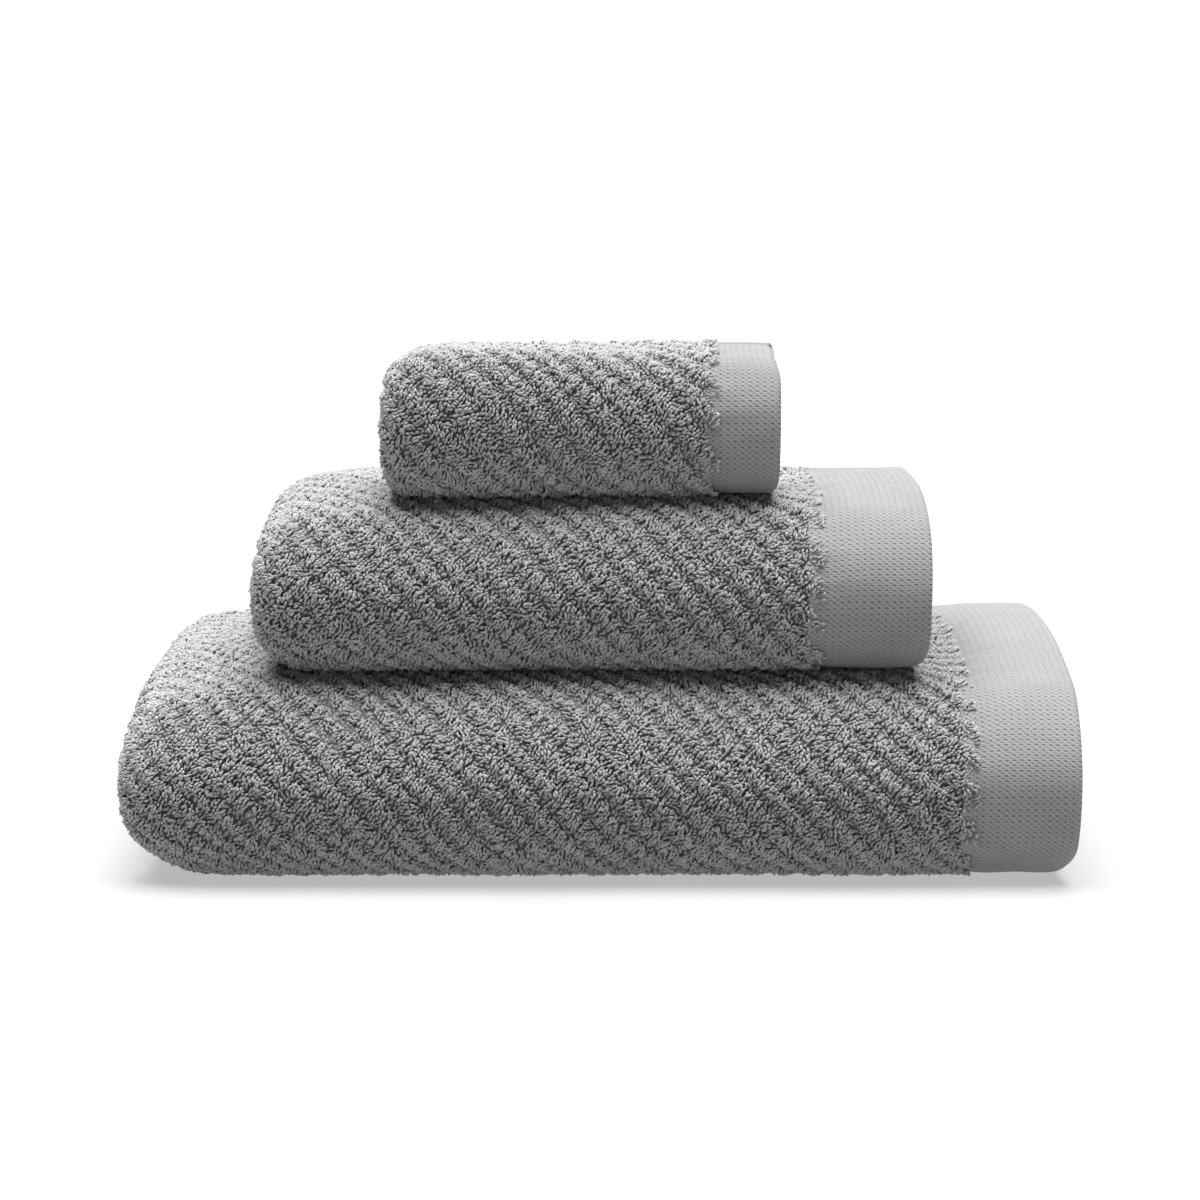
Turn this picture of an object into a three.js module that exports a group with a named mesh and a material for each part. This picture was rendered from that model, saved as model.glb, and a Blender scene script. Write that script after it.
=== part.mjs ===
// A set of three folded terry towels in a stack: a bath towel, a hand towel and a washcloth.
// Each towel is one cloth, folded along its length into a mat of plies and then across its width.
// It has a looped pile field, a flat-woven hem at each end, a narrow hem along each side,
// the sewing thread that holds the hems, and a blank care label.
// Units are millimetres and +Z is up. The smooth fold noses face -Y and the end hems face +X.

import * as THREE from 'three';

// ---- Driving dimensions ----------------------------------------------------------------------

const bathTowel = {
  name: 'bath_towel',
  flatLength: 1400,
  flatWidth: 700,
  lengthFold: 'quarters',
  widthFold: 'thirds',
  plyThickness: 5.7,       // pile included, as it lies in the stack
  endHemWidth: 41,
  endHemThickness: 3.6,
  sideHemWidth: 10,
  sideHemThickness: 3.4,
  topEdgeInset: 12,        // back face to the free edge on top
  noseSetBack: 0,          // behind the bath towel's nose
  sideShift: 0,
  labelWidth: 32,
  labelDrop: 11,
};

const handTowel = {
  name: 'hand_towel',
  flatLength: 1000,
  flatWidth: 500,
  lengthFold: 'quarters',
  widthFold: 'thirds',
  plyThickness: 4.78,
  endHemWidth: 43,
  endHemThickness: 2.4,
  sideHemWidth: 9,
  sideHemThickness: 2.2,
  topEdgeInset: 10,
  noseSetBack: 24,
  sideShift: -4,
  labelWidth: 28,
  labelDrop: 9,
};

const washcloth = {
  name: 'washcloth',
  flatLength: 300,
  flatWidth: 300,
  lengthFold: 'halves',
  widthFold: 'quarters',
  plyThickness: 6.9,
  endHemWidth: 26,
  endHemThickness: 4.6,
  sideHemWidth: 8,
  sideHemThickness: 4.4,
  topEdgeInset: 6,
  noseSetBack: 42,
  sideShift: -7.5,
  labelWidth: 22,
  labelDrop: 5,
};

const plyGap = 0.6;           // air between two plies of a mat
const matGap = 0.6;           // air between two mats of the width fold
const seat = 0.3;             // clearance between pieces that touch
const threadWidth = 0.9;      // sewing thread, across the seam
const threadHeight = 0.5;     // sewing thread, proud of the hem
const seamMargin = 1.2;       // seam to the inner edge of its hem
const labelThickness = 0.6;
const labelHemDistance = 36;  // end hem to the near side of the care label
const labelTilt = Math.PI / 6;
const wideTurnSegments = 10;  // facets of a turn that wraps other layers
const tightTurnSegments = 6;  // facets of a turn round its own gap
const hemEdgeSegments = 5;    // facets of the rounded edge of an end hem

// ---- Materials -------------------------------------------------------------------------------

const clothColours = { pile: 0x8b8d90, hem: 0xa5a7aa, thread: 0xb4b6b9, label: 0xeeeeea };

function namedMesh(towel, piece, geometry, cloth) {
  const material = new THREE.MeshStandardMaterial({
    color: clothColours[cloth],
    roughness: 0.95,
    metalness: 0,
  });
  const mesh = new THREE.Mesh(geometry, material);
  mesh.name = `${towel.name}_${piece}`;
  return mesh;
}

// ---- Folding a sheet in a plane --------------------------------------------------------------

// A walk along a folded sheet, with the sheet's outer face on the right of the heading.
// Each station holds a point of the outer face and the direction into the sheet.
class FoldWalk {
  constructor(start, heading, thickness) {
    this.point = start.clone();
    this.heading = heading;
    this.thickness = thickness;
    this.stations = [];
    this.mark();
  }

  inward() {
    return new THREE.Vector2(-Math.sin(this.heading), Math.cos(this.heading));
  }

  mark() {
    this.stations.push({ point: this.point.clone(), inward: this.inward() });
  }

  straight(length) {
    const forward = new THREE.Vector2(Math.cos(this.heading), Math.sin(this.heading));
    this.point.addScaledVector(forward, length);
    this.mark();
  }

  // Half a turn back: side +1 goes round the sheet's inner face, side -1 round its outer face.
  turnBack(side, radius, segments) {
    const toCentre = side > 0 ? this.thickness + radius : -radius;
    const centre = this.point.clone().addScaledVector(this.inward(), toCentre);
    const firstHeading = this.heading;
    for (let i = 1; i <= segments; i += 1) {
      this.heading = firstHeading + (side * Math.PI * i) / segments;
      this.point = centre.clone().addScaledVector(this.inward(), -toCentre);
      this.mark();
    }
  }
}

// The runs and turns of each way to fold, from the free edge on top. A run is as long as the
// folded extent less the reach at its two ends, and a wide turn wraps the layers inside it.
function foldSteps(kind, thickness, gap, edgeInset) {
  const tight = { turn: +1, radius: gap / 2, segments: tightTurnSegments };
  const tightReach = tight.radius + thickness;
  if (kind === 'halves') {
    const outerTurn = { ...tight, segments: wideTurnSegments };
    return [{ less: edgeInset + tightReach }, outerTurn, { less: edgeInset + tightReach }];
  }
  const wideRadius = kind === 'thirds' ? thickness / 2 + gap : thickness + 1.5 * gap;
  const wide = { turn: +1, radius: wideRadius, segments: wideTurnSegments };
  const wideReach = wide.radius + thickness;
  const steps = [
    { less: edgeInset + wideReach },
    wide,
    { less: wideReach + tightReach },
    tight,
    { less: tightReach + wideReach },
  ];
  if (kind === 'quarters') {
    steps.push({ ...tight, turn: -1 }, { less: edgeInset + wideReach });
  }
  return steps;
}

// How a sheet folds: its folded extent, its height and the walk along it. The extent follows
// from the sheet's size, because folding leaves the length of its middle line alone.
function foldPlan(kind, sheetSize, thickness, gap, edgeInset) {
  const steps = foldSteps(kind, thickness, gap, edgeInset);
  const turns = steps.filter((step) => step.turn);
  const runs = steps.filter((step) => !step.turn);
  const turned = turns.reduce((sum, step) => sum + Math.PI * (step.radius + thickness / 2), 0);
  const reached = runs.reduce((sum, step) => sum + step.less, 0);
  const extent = (sheetSize - turned + reached) / runs.length;
  const height = runs.length * thickness + (runs.length - 1) * gap;

  // The walk stops short of both free edges by the trim.
  function walk(trim) {
    const start = new THREE.Vector2(extent / 2 - edgeInset - trim, height);
    const path = new FoldWalk(start, Math.PI, thickness);
    steps.forEach((step, index) => {
      if (step.turn) {
        path.turnBack(step.turn, step.radius, step.segments);
      } else {
        const atEdge = index === 0 || index === steps.length - 1;
        path.straight(extent - step.less - (atEdge ? trim : 0));
      }
    });
    return path.stations;
  }

  return { extent, height, walk };
}

// The stretch of a walk that lies between two distances from its first or its last free edge.
function edgeStrip(stations, atStart, near, far) {
  const [edge, next] = atStart ? stations : [...stations].reverse();
  const along = next.point.clone().sub(edge.point).normalize();
  const strip = [near, far].map((distance) => ({
    point: edge.point.clone().addScaledVector(along, distance),
    inward: edge.inward,
  }));
  return atStart ? strip : strip.reverse();
}

// ---- Solids ----------------------------------------------------------------------------------

// The outline of a layer that lies between two depths below a folded sheet's outer face.
function layerOutline(stations, nearDepth, farDepth) {
  const offset = (depth) => stations.map((s) => s.point.clone().addScaledVector(s.inward, depth));
  return [...offset(nearDepth), ...offset(farDepth).reverse()];
}

// A flat strip with a round edge at its +X end.
function hemOutline(innerX, endX, bottom, thickness) {
  const radius = thickness / 2;
  const edge = new THREE.EllipseCurve(
    endX - radius, bottom + radius, radius, radius, -Math.PI / 2, Math.PI / 2,
  );
  return [
    new THREE.Vector2(innerX, bottom),
    ...edge.getPoints(hemEdgeSegments),
    new THREE.Vector2(innerX, bottom + thickness),
  ];
}

function ribbonOutline(innerX, bottom) {
  const ribbon = new THREE.Box2(
    new THREE.Vector2(innerX, bottom),
    new THREE.Vector2(innerX + threadWidth, bottom + threadHeight),
  );
  return [
    ribbon.min,
    new THREE.Vector2(ribbon.max.x, ribbon.min.y),
    ribbon.max,
    new THREE.Vector2(ribbon.min.x, ribbon.max.y),
  ];
}

// Sweeps a section of the mat, given as (x, height), along stations in the y-z plane.
function sweepSection(outline, matHeight, stations) {
  const section = THREE.ShapeUtils.isClockWise(outline) ? [...outline].reverse() : outline;
  const count = section.length;
  const positions = [];
  for (const { point, inward } of stations) {
    for (const corner of section) {
      const depth = matHeight - corner.y;
      positions.push(corner.x, point.x + inward.x * depth, point.y + inward.y * depth);
    }
  }
  const indices = [];
  for (let ring = 0; ring < stations.length - 1; ring += 1) {
    for (let i = 0; i < count; i += 1) {
      const a = ring * count + i;
      const b = ring * count + ((i + 1) % count);
      indices.push(a, b, b + count, a, b + count, a + count);
    }
  }
  const lastRing = (stations.length - 1) * count;
  for (const [a, b, c] of THREE.ShapeUtils.triangulateShape(section, [])) {
    indices.push(a, c, b, lastRing + a, lastRing + b, lastRing + c);
  }
  const geometry = new THREE.BufferGeometry();
  geometry.setAttribute('position', new THREE.Float32BufferAttribute(positions, 3));
  geometry.setIndex(indices);
  geometry.computeVertexNormals();
  return geometry;
}

// ---- The pieces of a towel -------------------------------------------------------------------

// The mat is the cloth folded along its length, and the stack is the mat folded across its width.
function towelFolds(towel) {
  const mat = foldPlan(towel.lengthFold, towel.flatLength, towel.plyThickness, plyGap, 0);
  const stack = foldPlan(towel.widthFold, towel.flatWidth, mat.height, matGap, towel.topEdgeInset);
  return { mat, stack };
}

function pileField(towel, { mat, stack }) {
  const outline = layerOutline(mat.walk(towel.endHemWidth + seat), 0, towel.plyThickness);
  const geometry = sweepSection(outline, mat.height, stack.walk(towel.sideHemWidth + seat));
  return namedMesh(towel, 'pile_field', geometry, 'pile');
}

// One end hem is on the outer ply and one on the ply at the cloth's other end.
function endHems(towel, { mat, stack }) {
  const stations = stack.walk(towel.sideHemWidth + seat);
  const edges = mat.walk(0);
  const plyTops = { outer: edges[0].point.y, inner: edges.at(-1).point.y + towel.plyThickness };
  const recess = (towel.plyThickness - towel.endHemThickness) / 2;
  const endX = mat.extent / 2;
  const innerX = endX - towel.endHemWidth;
  return Object.entries(plyTops).flatMap(([place, plyTop]) => {
    const bottom = plyTop - recess - towel.endHemThickness;
    const hem = hemOutline(innerX, endX, bottom, towel.endHemThickness);
    const thread = ribbonOutline(innerX + seamMargin, plyTop - recess + seat);
    return [
      namedMesh(towel, `end_hem_${place}`, sweepSection(hem, mat.height, stations), 'hem'),
      namedMesh(towel, `end_seam_${place}`, sweepSection(thread, mat.height, stations), 'thread'),
    ];
  });
}

// One side hem is the free edge on top, at the back, and one is tucked inside the stack.
function sideHems(towel, { mat, stack }) {
  const edges = stack.walk(0);
  const recess = (towel.plyThickness - towel.sideHemThickness) / 2;
  const hem = layerOutline(mat.walk(0), recess, recess + towel.sideHemThickness);
  const thread = layerOutline(mat.walk(0), recess - seat - threadHeight, recess - seat);
  const threadFar = towel.sideHemWidth - seamMargin;
  return [['top', true], ['tucked', false]].flatMap(([place, atStart]) => {
    const hemStrip = edgeStrip(edges, atStart, 0, towel.sideHemWidth);
    const threadStrip = edgeStrip(edges, atStart, threadFar - threadWidth, threadFar);
    return [
      namedMesh(towel, `side_hem_${place}`, sweepSection(hem, mat.height, hemStrip), 'hem'),
      namedMesh(towel, `side_seam_${place}`, sweepSection(thread, mat.height, threadStrip), 'thread'),
    ];
  });
}

// A blank tab that leaves the free edge on top and tips down behind it.
function careLabel(towel, { mat, stack }) {
  const tab = new THREE.BoxGeometry(towel.labelWidth, towel.labelDrop, labelThickness);
  tab.translate(0, towel.labelDrop / 2, 0);
  const label = namedMesh(towel, 'care_label', tab, 'label');
  label.rotation.x = -labelTilt;
  label.position.set(
    mat.extent / 2 - towel.endHemWidth - labelHemDistance - towel.labelWidth / 2,
    stack.extent / 2 - towel.topEdgeInset + seat,
    stack.height - towel.plyThickness / 2,
  );
  return label;
}

function foldedTowel(towel) {
  const folds = towelFolds(towel);
  const group = new THREE.Group();
  group.add(pileField(towel, folds));
  group.add(...endHems(towel, folds));
  group.add(...sideHems(towel, folds));
  group.add(careLabel(towel, folds));
  return group;
}

// ---- The stack -------------------------------------------------------------------------------

// The origin is on the floor, under the middle of the bath towel, which is the widest and deepest.
function towelStack(towels) {
  const noseY = -towelFolds(towels[0]).stack.extent / 2;
  const set = new THREE.Group();
  let floor = 0;
  for (const towel of towels) {
    const { stack } = towelFolds(towel);
    const group = foldedTowel(towel);
    group.position.set(towel.sideShift, noseY + towel.noseSetBack + stack.extent / 2, floor);
    set.add(group);
    floor += stack.height + seat;
  }
  return set;
}

export default towelStack([bathTowel, handTowel, washcloth]);
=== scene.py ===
"""A stack of three folded terry towels, on a pale floor in soft light.

Each towel is one cloth. A point of it is given by its distance along the length, its distance
across the width and its depth below the outer face, and the folds carry it to its place in the
stack, so every ply, hem, loop and stitch is made in the cloth's own measures and folded with it.
"""
import math

import bpy
import numpy as np
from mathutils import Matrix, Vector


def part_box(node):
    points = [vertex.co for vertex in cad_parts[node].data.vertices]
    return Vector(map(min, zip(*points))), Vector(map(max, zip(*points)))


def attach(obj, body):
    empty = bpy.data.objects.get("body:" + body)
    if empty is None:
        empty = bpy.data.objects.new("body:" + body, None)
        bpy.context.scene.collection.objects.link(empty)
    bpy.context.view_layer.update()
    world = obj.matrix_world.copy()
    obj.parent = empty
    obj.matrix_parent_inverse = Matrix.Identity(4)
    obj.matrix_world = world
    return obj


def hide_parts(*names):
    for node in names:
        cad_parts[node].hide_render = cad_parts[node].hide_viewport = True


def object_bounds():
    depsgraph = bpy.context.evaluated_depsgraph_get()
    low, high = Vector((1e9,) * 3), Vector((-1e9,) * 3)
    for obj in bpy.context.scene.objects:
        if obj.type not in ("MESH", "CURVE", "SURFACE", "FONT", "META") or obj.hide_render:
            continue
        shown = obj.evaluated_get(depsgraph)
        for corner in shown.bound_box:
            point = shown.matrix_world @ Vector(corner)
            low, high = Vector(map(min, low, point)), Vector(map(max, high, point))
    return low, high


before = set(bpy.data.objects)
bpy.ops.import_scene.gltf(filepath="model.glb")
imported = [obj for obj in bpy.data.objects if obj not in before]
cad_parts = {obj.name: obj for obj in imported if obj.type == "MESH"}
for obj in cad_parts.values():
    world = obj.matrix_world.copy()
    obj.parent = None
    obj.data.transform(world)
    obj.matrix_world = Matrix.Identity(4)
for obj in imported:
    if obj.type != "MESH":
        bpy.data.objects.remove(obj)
cad_low, cad_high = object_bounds()

MM = 0.001
GAP = 0.6 * MM            # air between plies and between mats, as the frame's solids have it
FLOOR_CLEARANCE = 0.1 * MM
EVENLY_STEPS = 4000       # of the table by which distances are spaced evenly
PROBE = 0.5 * MM          # step by which directions and slopes on the cloth are measured
THICK_PLY = 5 * MM        # a ply thicker than this has the thicker hems
HEM_THICKNESS = {True: (3.6 * MM, 3.2 * MM), False: (2.6 * MM, 2.3 * MM)}   # end and side hems


# ---- Folding ---------------------------------------------------------------------------------

class Fold:
    """A sheet folded in a plane: runs, and turns of (side, radius), from one free edge.

    A distance is measured from that edge at mid-thickness, a depth from the outer face. A turn's
    side is 1 where the outer face is outside the turn and -1 where it is inside.
    """

    def __init__(self, kind, size, thickness, inset):
        self.thickness, self.size = thickness, size
        tight = GAP / 2
        tight_reach = tight + thickness
        if kind == "halves":
            steps = [inset + tight_reach, (1, tight), inset + tight_reach]
        else:
            wide = thickness / 2 + GAP if kind == "thirds" else thickness + 1.5 * GAP
            wide_reach = wide + thickness
            steps = [inset + wide_reach, (1, wide), wide_reach + tight_reach, (1, tight),
                     tight_reach + wide_reach]
            if kind == "quarters":
                steps += [(-1, tight), inset + wide_reach]
        runs = [s for s in steps if not isinstance(s, tuple)]
        turned = sum(math.pi * (s[1] + thickness / 2) for s in steps if isinstance(s, tuple))
        self.extent = (size - turned + sum(runs)) / len(runs)
        self.height = len(runs) * thickness + (len(runs) - 1) * GAP
        self._walk(steps, np.array([self.extent / 2 - inset, self.height]))

    def _walk(self, steps, point):
        """Notes each step's start: distance, point on the outer face, heading and turn."""
        heading, distance = math.pi, 0.0
        self.starts, self.points, self.headings, self.turns = [], [], [], []
        for step in steps:
            self.starts.append(distance)
            self.points.append(point.copy())
            self.headings.append(heading)
            inward = np.array([-math.sin(heading), math.cos(heading)])
            if isinstance(step, tuple):
                side, radius = step
                self.turns.append((side, radius))
                to_centre = self.thickness + radius if side > 0 else -radius
                point = point + 2 * to_centre * inward
                heading += side * math.pi
                distance += math.pi * (radius + self.thickness / 2)
            else:
                self.turns.append((0, 0.0))
                length = self.extent - step
                point = point + length * np.array([math.cos(heading), math.sin(heading)])
                distance += length
        self.starts.append(distance)

    def at(self, distance, depth):
        """The place in the plane, as (across, height), of a distance and a depth."""
        distance, depth = np.broadcast_arrays(np.asarray(distance, float), depth)
        step = np.clip(np.searchsorted(self.starts, distance, side="right") - 1,
                       0, len(self.turns) - 1)
        along = distance - np.array(self.starts)[step]
        side = np.array([t[0] for t in self.turns])[step]
        radius = np.array([t[1] for t in self.turns])[step]
        heading = np.array(self.headings)[step]
        start = np.array(self.points)[step]
        middle = radius + self.thickness / 2
        turn = np.where(side != 0, side * along / middle, 0.0)
        to_centre = np.where(side > 0, self.thickness + radius, -radius)
        to_centre = np.where(side == 0, 0.0, to_centre)
        run = np.where(side == 0, along, 0.0)
        now = heading + turn
        across = (start[..., 0] + run * np.cos(heading)
                  - to_centre * np.sin(heading) + (to_centre - depth) * np.sin(now))
        height = (start[..., 1] + run * np.sin(heading)
                  + to_centre * np.cos(heading) - (to_centre - depth) * np.cos(now))
        return across, height

    def _face_length(self, distance, long_side):
        """The distance along the outer face, or along the long side of every turn."""
        stretch = [1.0 if side == 0 else
                   (radius + (self.thickness if side > 0 or long_side else 0))
                   / (radius + self.thickness / 2) for side, radius in self.turns]
        lengths = np.diff(self.starts) * stretch
        return np.interp(distance, self.starts, np.concatenate([[0], np.cumsum(lengths)]))

    def outer_length(self, distance):
        """The distance along the outer face, from the first free edge."""
        return self._face_length(distance, False)

    def evenly(self, near, far, pitch):
        """Distances between near and far, a pitch apart on the long side of each turn."""
        fine = np.linspace(near, far, EVENLY_STEPS)
        length = self._face_length(fine, True)
        count = max(2, int(round((length[-1] - length[0]) / pitch)) + 1)
        return np.interp(np.linspace(length[0], length[-1], count), length, fine)

    def stations(self, near, far, fine, coarse):
        """Distances between near and far, fine on the first run and the turns."""
        found = []
        for k, (side, _) in enumerate(self.turns):
            start, end = max(self.starts[k], near), min(self.starts[k + 1], far)
            found.append(self.evenly(start, end, fine if side or k == 0 else coarse))
        return np.unique(np.round(np.concatenate(found), 7))


def smooth(value):
    """A smooth step from 0 to 1."""
    value = np.clip(value, 0.0, 1.0)
    return value * value * (3 - 2 * value)


WAVE_COUNT, WAVE_SUM = 6, 3.2         # sines in a noise, and what brings their sum to about 1


def waves(a, b, seed, size):
    """Smooth noise from about -1 to 1, with features of about the given size."""
    rng = np.random.default_rng(seed)
    total = np.zeros(np.broadcast(a, b).shape)
    for _ in range(WAVE_COUNT):
        angle, phase = rng.uniform(0, 2 * math.pi, 2)
        pace = 2 * math.pi / (size * rng.uniform(0.7, 1.6))
        total = total + np.sin((a * math.cos(angle) + b * math.sin(angle)) * pace + phase)
    return total / WAVE_SUM


def unit(v):
    return v / np.maximum(np.linalg.norm(v, axis=-1, keepdims=True), 1e-12)


class Towel:
    """One cloth and its two folds: first along its length, then across its width."""

    def __init__(self, name, flat, folds, look):
        self.name, (self.flat_width, self.flat_length) = name, flat
        self.look = look
        low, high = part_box(f"{name}_pile_field")
        self.seed = sum(map(ord, name))
        mats = {"thirds": 3, "quarters": 4}[folds[1]]
        plies = {"halves": 2, "quarters": 4}[folds[0]]
        mat_height = (high.z - low.z - (mats - 1) * GAP) / mats
        self.ply = (mat_height - (plies - 1) * GAP) / plies
        hem_low, hem_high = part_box(f"{name}_end_hem_outer")
        side_low, side_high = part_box(f"{name}_side_hem_top")
        self.hem = hem_high.x - hem_low.x
        self.side = side_high.y - side_low.y
        self.inset = high.y - side_high.y
        self.length = Fold(folds[0], self.flat_length, self.ply, 0.0)
        self.width = Fold(folds[1], self.flat_width, mat_height, self.inset)
        self.centre = np.array([hem_high.x - self.length.extent / 2, (low.y + high.y) / 2, low.z])
        self.hem_thickness, self.side_thickness = HEM_THICKNESS[self.ply > THICK_PLY]

    def place(self, along, across, depth):
        """A point of the cloth in the stack, at a depth below the cloth's outer face."""
        x, height = self.length.at(along, depth)
        y, z = self.width.at(across, self.length.height - height)
        x = x + self.look.uneven(self, across) * smooth(x / self.length.extent + 0.5)
        x, y, z = self.look.soften(self, x, y, z)
        return np.stack([x, y, np.maximum(z, FLOOR_CLEARANCE)], axis=-1) + self.centre

    def normal(self, along, across):
        """The direction out of the outer face."""
        return unit(self.place(along, across, 0.0) - self.place(along, across, 2 * PROBE))

    def recess(self, thickness):
        """The depth of a hem of this thickness in the middle of its ply."""
        return (self.ply - thickness) / 2


# the unevenness of the cloth: how far, and the size of its waves
EDGE_OUT, EDGE_UNEVEN = 1.5 * MM, (1.4 * MM, 0.16)    # end hems past their plan, across the cloth
TOP_UNEVEN = (0.9 * MM, 0.11)                         # height of the top
NOSE_UNEVEN = (1.2 * MM, 0.13)                        # depth of the nose
# the hollow under the next towel: margins beyond its box, and the ramps into it
LOAD_LEFT, LOAD_RIGHT, LOAD_FRONT = 8 * MM, 4 * MM, 24 * MM
LOAD_RAMP, LOAD_FRONT_RAMP = 30 * MM, 45 * MM
CREST_TILT = 0.35         # how much more the crown stands at the hems, and less at the fold
FRONT_SLUMP = 0.03        # share of the height lost in front of the load
NOSE_POWER = 1.6
TOP_POWER, BOTTOM_POWER = 2.6, 3.0                    # of the round fold end, above and below
HEM_END, HEM_CORNER = 30 * MM, 0.2                    # reach of the hems' rounding, along and up
END_DROP, END_PINCH = 0.085, 0.07                     # height and depth lost at the fold end


class Look:
    """How soft cloth departs from its folded plan: crown, sink, round ends and unevenness."""

    def __init__(self, loaded_by, crest, back_drop, nose_reach, nose_fall, end_length, top_round,
                 bottom_round, bulge, waist, hem_round, rib, edge_share):
        self.loaded_by = loaded_by              # the towel on top
        self.crest, self.back_drop = crest, back_drop   # shares of the height
        self.nose_reach = nose_reach            # beside the towel on top, and under it
        self.nose_fall = nose_fall
        self.end_length = end_length            # of the fold end's rounding
        self.top_round, self.bottom_round, self.bulge = top_round, bottom_round, bulge
        self.waist = waist                      # height of the fold end's furthest point
        self.hem_round = hem_round              # of the hems' corners, above and below
        self.rib, self.edge_share = rib, edge_share     # of the usual rib pitch and unevenness

    def uneven(self, towel, across):
        """How far the end hems lie beyond their plan."""
        size, spread = EDGE_UNEVEN
        wave = waves(across, 0.0 * across, towel.seed, spread)
        return self.edge_share * (EDGE_OUT + size * wave)

    def load(self, towel, x, y):
        """Whether the next towel lies over a point by its x and by its y: 1 where it does."""
        if self.loaded_by is None:
            return np.zeros(np.broadcast(x, y).shape), np.ones(np.broadcast(x, y).shape)
        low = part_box(f"{self.loaded_by}_pile_field")[0]
        hem_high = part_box(f"{self.loaded_by}_end_hem_outer")[1]
        x, y = x + towel.centre[0], y + towel.centre[1]
        left = smooth((x - (low.x + LOAD_LEFT - LOAD_RAMP)) / LOAD_RAMP)
        right = smooth((hem_high.x + LOAD_RIGHT + LOAD_RAMP - x) / LOAD_RAMP)
        behind = smooth((y - (low.y + LOAD_FRONT - LOAD_FRONT_RAMP)) / LOAD_FRONT_RAMP)
        return left * right, behind

    def soften(self, towel, x, y, z):
        """Warps a point of the folded plan, from the middle of the towel's floor."""
        half, height = towel.length.extent / 2, towel.width.height
        depth = towel.width.extent
        rise = z / height
        # the crown beside the load, and the slump in front of it
        beside, behind = self.load(towel, x, y)
        crest = self.crest * (1 + CREST_TILT * x / half)
        lift = crest * (1 - beside) * (1 - (2 * y / depth) ** 2).clip(0)
        lift = lift - FRONT_SLUMP * beside * (1 - behind)
        lift = lift - self.back_drop * (1 - beside) * smooth(2 * y / depth)
        # the upper half of the nose, drawn out to a long curve where nothing rests on it
        free, loaded = self.nose_reach
        from_front = (y + depth / 2) / (free + (loaded - free) * beside)
        fall = self.nose_fall * (1 - from_front).clip(0, 1) ** NOSE_POWER
        z = np.where(z > height / 2, height / 2 + (z - height / 2) * (1 - fall), z)
        # a round end at the fold, and round corners at the hems, in the front view
        near_end = np.clip((self.end_length - half - x) / self.end_length, 0, 1)
        top = np.clip((rise - self.waist) / (1 - self.waist), 0, 1.1)
        bottom = np.clip((self.waist - rise) / self.waist, 0, 1)
        inward = self.top_round * top ** TOP_POWER + self.bottom_round * bottom ** BOTTOM_POWER
        hem_end = smooth((x - half + HEM_END) / HEM_END)
        upper = np.clip((rise - (1 - HEM_CORNER)) / HEM_CORNER, 0, 1) ** 2
        lower = np.clip((HEM_CORNER - rise) / HEM_CORNER, 0, 1) ** 2
        corner = self.hem_round[0] * upper + self.hem_round[1] * lower
        new_x = x + (inward - self.bulge) * smooth(near_end) - corner * hem_end
        # the thinner fold end, and the uneven top and nose
        reach = 0.5 * self.end_length
        near_end = np.clip((reach - half - x) / reach, 0, 1)
        wobble = TOP_UNEVEN[0] * waves(x, y, towel.seed + 1, TOP_UNEVEN[1])
        new_z = z * (1 + lift) * (1 - END_DROP * near_end ** 2 * rise) + wobble * rise
        nose = NOSE_UNEVEN[0] * waves(x, 0 * x, towel.seed + 2, NOSE_UNEVEN[1])
        new_y = y * (1 - END_PINCH * near_end ** 3) + nose * np.clip(-2 * y / depth, 0, 1)
        return new_x, new_y, new_z


# ---- Meshes ----------------------------------------------------------------------------------

def new_piece(name, points, faces, material, uvs=None, attributes=None):
    """A smooth-shaded mesh of equal-sided faces. uvs maps a map's name to a place per vertex."""
    mesh = bpy.data.meshes.new(name)
    faces = np.asarray(faces, np.int32)
    sides = faces.shape[1]
    mesh.vertices.add(len(points))
    mesh.vertices.foreach_set("co", np.asarray(points, np.float32).ravel())
    mesh.loops.add(faces.size)
    mesh.loops.foreach_set("vertex_index", faces.ravel())
    mesh.polygons.add(len(faces))
    mesh.polygons.foreach_set("loop_start", np.arange(0, faces.size, sides, dtype=np.int32))
    mesh.polygons.foreach_set("loop_total", np.full(len(faces), sides, np.int32))
    mesh.polygons.foreach_set("use_smooth", np.ones(len(faces), bool))
    for map_name, places in (uvs or {}).items():
        layer = mesh.uv_layers.new(name=map_name)
        layer.data.foreach_set("uv", np.asarray(places, np.float32)[faces.ravel()].ravel())
    for key, values in (attributes or {}).items():
        layer = mesh.attributes.new(key, "FLOAT", "POINT")
        layer.data.foreach_set("value", np.asarray(values, np.float32))
    mesh.update(calc_edges=True)
    mesh.validate()
    mesh.materials.append(material)
    piece = bpy.data.objects.new(name, mesh)
    bpy.context.scene.collection.objects.link(piece)
    return piece


def grid_faces(rows, columns, wrap=False):
    """Quads of a grid of points, row by row; wrap joins the last column to the first."""
    last = columns if wrap else columns - 1
    r, c = np.meshgrid(np.arange(rows - 1), np.arange(last), indexing="ij")
    n = (c + 1) % columns
    a, b = r * columns + c, r * columns + n
    return np.stack([a, b, b + columns, a + columns], axis=-1).reshape(-1, 4)


def slab_faces(rows, columns):
    """Faces of a slab: a grid of top points, the same grid of bottom points, and four walls."""
    face, count = grid_faces(rows, columns), rows * columns
    edges = (np.arange(columns), np.arange(columns - 1, -1, -1) + (rows - 1) * columns,
             np.arange(rows - 1, -1, -1) * columns, np.arange(rows) * columns + columns - 1)
    walls = [np.stack([e[1:], e[:-1], e[:-1] + count, e[1:] + count], axis=-1) for e in edges]
    return np.concatenate([face, face[:, ::-1] + count, *walls])


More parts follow.
